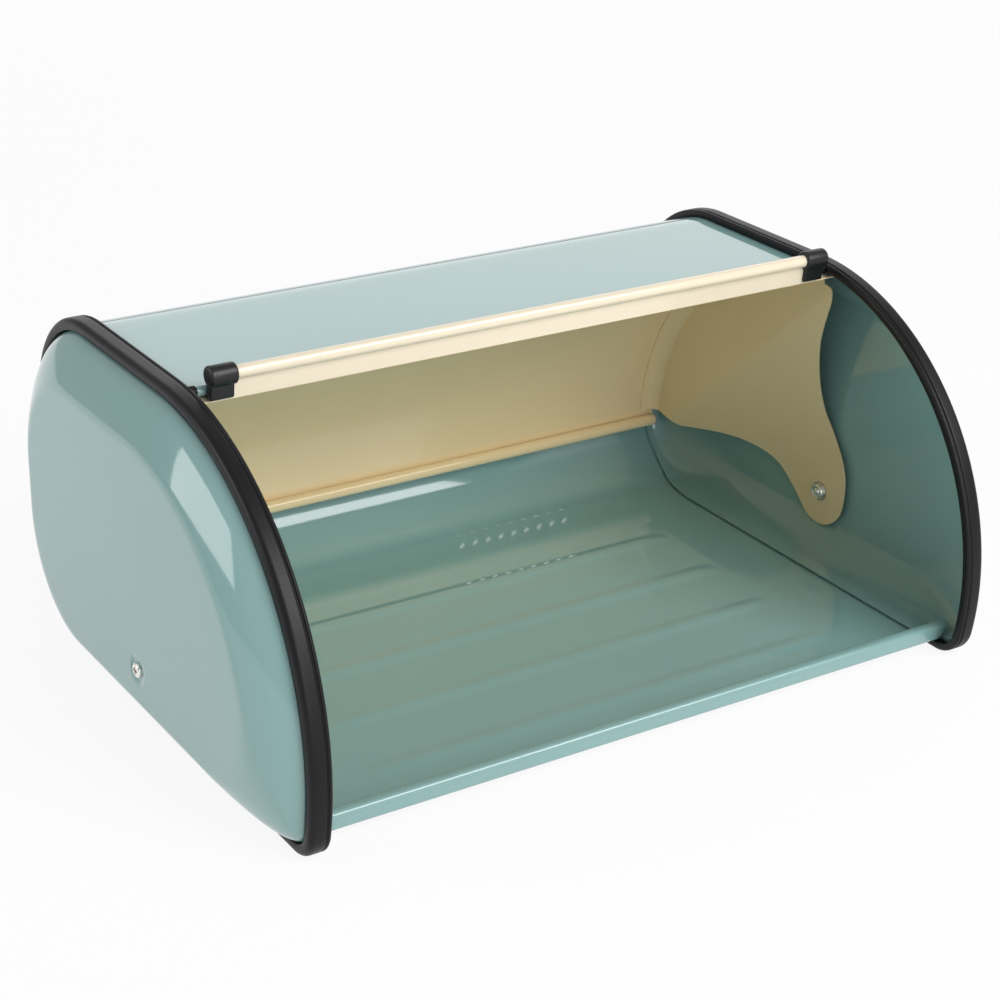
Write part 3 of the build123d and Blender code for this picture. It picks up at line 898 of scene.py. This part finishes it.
def makeArm(word, side):
    f = armForm
    rimRadius = lidForm["radius"] - sheet - sheet / 2
    turn = radians(f["foldCrease"])      # the fold starts at a soft crease
    plateRadius = rimRadius - f["foldRadius"] * (1 - sin(turn))
    first = lidForm["openAngle"] - f["rimSetback"]
    last = lidForm["rearAngle"] + f["rimSetback"]
    shapes = []
    for points, faces in (armPlate(plateRadius, first, last),
                          armFold(plateRadius, rimRadius, turn, first, last)):
        shape = meshObject("armShape", onSide(side, points), faces, finish["creamEnamelPaintedShade"])
        thicken(shape, 0, even=False)
        shapes.append(([tuple(v.co / mm) for v in shape.data.vertices],
                       [tuple(p.vertices) for p in shape.data.polygons]))
        bpy.data.objects.remove(shape)
    # the arms take the deeper cream, which is painted shade
    piece = meshObject(f"{word}LidArm", *joined(shapes), finish["creamEnamelPaintedShade"])
    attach(piece, "lid")
    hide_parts(f"{word}_lid_arm")


for word, side in sides.items():
    makeArm(word, side)
print("lid arms made")


# handle caps: a barrel on the rod and a tab over the strip
clipForm = {"length": 13.5, "wall": 1.9, "endWall": 1.5, "round": 1.1, "tabThickness": 4.6,
            "tabSetback": 0.5, "tabShort": 0.9, "tabGap": 0.9, "tabRound": 0.7, "tabSteps": 3,
            "steps": 48}


def makeClip(word, side):
    f = clipForm
    outerX = lidForm["handleEndX"] + f["endWall"]
    innerX = outerX - f["length"]
    radius = lidForm["handleDiameter"] / 2 + f["wall"]
    low, high = lidForm["radius"] + f["tabGap"], lidForm["radius"] + lidForm["handleReach"]
    tabStart, tabEnd = innerX + f["tabShort"], outerX - f["tabSetback"]
    tab = bmesh.new()
    bmesh.ops.create_cube(tab, size=1.0)
    bmesh.ops.scale(tab, vec=(tabEnd - tabStart, f["tabThickness"], high - low), verts=tab.verts)
    bmesh.ops.bevel(tab, geom=tab.edges[:], offset=f["tabRound"],
                    segments=f["tabSteps"], affect="EDGES", profile=0.5)
    tab.verts.index_update()
    a = radians(lidForm["openAngle"])
    points = []
    for v in tab.verts:
        y, z = onArc((low + high) / 2 + v.co.z, lidForm["openAngle"])
        points.append(((tabStart + tabEnd) / 2 + v.co.x,
                       y + v.co.y * cos(a), z + v.co.y * sin(a)))
    faces = [tuple(v.index for v in face.verts) for face in tab.faces]
    tab.free()
    barrel = tubeAlong(onArc(high, lidForm["openAngle"]), radius, innerX, outerX, f["round"],
                       f["steps"])
    points, faces = joined([(points, faces), barrel])
    piece = meshObject(f"{word}HandleCap", onSide(side, points), faces, finish["blackClipAbs"], 50)
    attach(piece, "lid")
    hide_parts(f"{word}_handle_cap")


for word, side in sides.items():
    makeClip(word, side)
print("handle caps made")


# pivot hardware: cap nut, washer and bush; the screw is the part's own
pivotForm = {"spacerInX": 206.9, "spacerOutX": 208.5, "spacerRadius": 6.0, "spacerRound": 0.4,
             "washerInX": 205.0, "washerOutX": 205.8, "washerRadius": 5.5, "washerRound": 0.18,
             "bore": 3.05, "headInX": 202.4, "headRadius": 4.5, "barrelRadius": 3.0,
             "sharpAngle": 32.0, "nearest": 0.002}
# (distance from the head's inner end, radius): a raised round middle, a groove, a rounded ring
nutHead = [(0.0, 0.0), (0.0, 0.8), (0.15, 1.5), (0.5, 2.0), (1.1, 2.35), (1.5, 2.5), (1.5, 2.85),
           (1.1, 3.0), (0.8, 3.2), (0.65, 3.5), (0.7, 3.85), (0.95, 4.15), (1.35, 4.38), (1.9, 4.5)]


def flatRing(inX, outX, radius, rounded):
    # the profile of a ring on the barrel, its rim softened
    return [(inX, pivotForm["bore"]), (inX, radius - rounded), (inX + rounded, radius),
            (outX - rounded, radius), (outX, radius - rounded), (outX, pivotForm["bore"])]


def makeHardware(word, side):
    f = pivotForm
    nut = [(f["headInX"] + x, r) for x, r in nutHead]
    nut += [(f["washerInX"], f["headRadius"]), (f["washerInX"], f["barrelRadius"]),
            (f["spacerOutX"], f["barrelRadius"]), (f["spacerOutX"], 0.0)]
    washer = flatRing(f["washerInX"], f["washerOutX"], f["washerRadius"], f["washerRound"])
    spacer = flatRing(f["spacerInX"], f["spacerOutX"], f["spacerRadius"], f["spacerRound"])
    for part, profile, material, slot in (("Nut", nut, "nickelPlate", "plated_steel"),
                                          ("Washer", washer, "zincPlate", "plated_steel"),
                                          ("Spacer", spacer, "spacerNylon", "spacer_nylon")):
        points, faces = lathe(profile)
        piece = meshObject(f"{word}Pivot{part}", onSide(side, points), faces, finish[material], 35)
        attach(piece, "box")
        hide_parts(f"{word}_pivot_{part.lower()}")


def smoothTree():
    # rounds the shading of a CAD node and keeps its sharp edges
    tree, given = newTree("smoothShading", {"nearest": "Float", "angle": "Float",
                                            "material": "Material"})
    merged = addNode(tree, "GeometryNodeMergeByDistance", None,
                     {"Geometry": given["Geometry"], "Distance": given["nearest"]})
    smooth = addNode(tree, "GeometryNodeSetShadeSmooth", None, {"Geometry": merged.outputs[0]})
    angle = addNode(tree, "GeometryNodeInputMeshEdgeAngle")
    sharp = addNode(tree, "ShaderNodeMath", {"operation": "GREATER_THAN"},
                    {0: angle.outputs["Unsigned Angle"], 1: given["angle"]})
    edges = addNode(tree, "GeometryNodeSetShadeSmooth", {"domain": "EDGE", "Shade Smooth": False},
                    {"Geometry": smooth.outputs[0], "Selection": sharp.outputs[0]})
    return endTree(tree, edges.outputs[0], given["material"])


screwShading = smoothTree()
for word, side in sides.items():
    makeHardware(word, side)
    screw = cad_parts[f"{word}_pivot_screw"]
    screw.data.materials.clear()
    screw.data.materials.append(finish["nickelPlate"])
    useTree(screw, screwShading, {"nearest": pivotForm["nearest"] * mm,
                                  "angle": radians(pivotForm["sharpAngle"]),
                                  "material": finish["nickelPlate"]})
print("pivot hardware made")


# floor, backdrop and light: places and sizes in metres, powers in watts
lightSet = {"world": 0.30, "floor": "#F4F4F3", "floorWhite": 0.9, "floorReach": 6.0,
            "roomGloss": 0.25, "white": 1.0}
# area lamps: name, place, aim, size and power
lamps = [("behind", (1.0, 1.45, 0.85), (0, 0, 0.15), (2.6, 1.2), 9),
         ("left", (-1.79, 0.55, 0.9), (-0.2, 0, 0.1), (1.2, 0.9), 12),
         ("high", (0.7, -1.5, 1.5), (0, 0, 0.05), (1.5, 1.1), 34),
         ("low", (-0.1, -2.15, 0.65), (0, 0, 0.1), (1.5, 0.9), 12)]


def larger(tree, one, two):
    return addNode(tree, "ShaderNodeMath", {"operation": "MAXIMUM"}, {0: one, 1: two}).outputs[0]


def makeStage():
    # a pale floor that looks nearly white to the camera and in gloss, and keeps its shadow
    reach = lightSet["floorReach"]
    points = [(-reach, -reach, 0), (reach, -reach, 0), (reach, reach, 0), (-reach, reach, 0)]
    mesh = bpy.data.meshes.new("floor")
    mesh.from_pydata(points, [], [(0, 1, 2, 3)])
    material, tree = newMaterial("paleFloor")
    path = addNode(tree, "ShaderNodeLightPath")
    paint = addNode(tree, "ShaderNodeBsdfDiffuse", {"Color": linearColour(lightSet["floor"])})
    glow = addNode(tree, "ShaderNodeEmission", {"Strength": lightSet["white"]})
    seen = larger(tree, path.outputs["Is Camera Ray"], path.outputs["Is Glossy Ray"])
    share = addNode(tree, "ShaderNodeMath", {"operation": "MULTIPLY", 1: lightSet["floorWhite"]},
                    {0: seen})
    mix = addNode(tree, "ShaderNodeMixShader", None,
                  {0: share.outputs[0], 1: paint.outputs[0], 2: glow.outputs[0]})
    addNode(tree, "ShaderNodeOutputMaterial", None, {"Surface": mix.outputs[0]})
    mesh.materials.append(material)
    floor = newObject("floor", mesh)


def makeWorld():
    # white to the camera, dimmer in gloss, and a low even light for everything else
    world = bpy.data.worlds.new("studio")
    world.use_nodes = True
    tree = world.node_tree
    tree.nodes.clear()
    path = addNode(tree, "ShaderNodeLightPath")
    direct = larger(tree, path.outputs["Is Camera Ray"], path.outputs["Is Transmission Ray"])
    gloss = addNode(tree, "ShaderNodeMath", {"operation": "MULTIPLY", 1: lightSet["roomGloss"]},
                    {0: path.outputs["Is Glossy Ray"]})
    light, backdrop = (addNode(tree, "ShaderNodeBackground",
                               {"Color": (1, 1, 1, 1), "Strength": lightSet[key]})
                       for key in ("world", "white"))
    mix = addNode(tree, "ShaderNodeMixShader", None,
                  {0: larger(tree, direct, gloss.outputs[0]), 1: light.outputs[0],
                   2: backdrop.outputs[0]})
    addNode(tree, "ShaderNodeOutputWorld", None, {"Surface": mix.outputs[0]})
    scene.world = world


def makeLamps():
    for name, place, aim, size, power in lamps:
        data = bpy.data.lights.new(name, "AREA")
        data.shape = "RECTANGLE"
        data.size, data.size_y = size
        data.energy = power
        item = newObject(name, data)
        item.location = place
        item.rotation_mode = "QUATERNION"
        item.rotation_quaternion = (Vector(aim) - Vector(place)).to_track_quat("-Z", "Y")


makeStage()
makeWorld()
makeLamps()
scene.view_settings.view_transform = "Standard"
print("stage and light set")
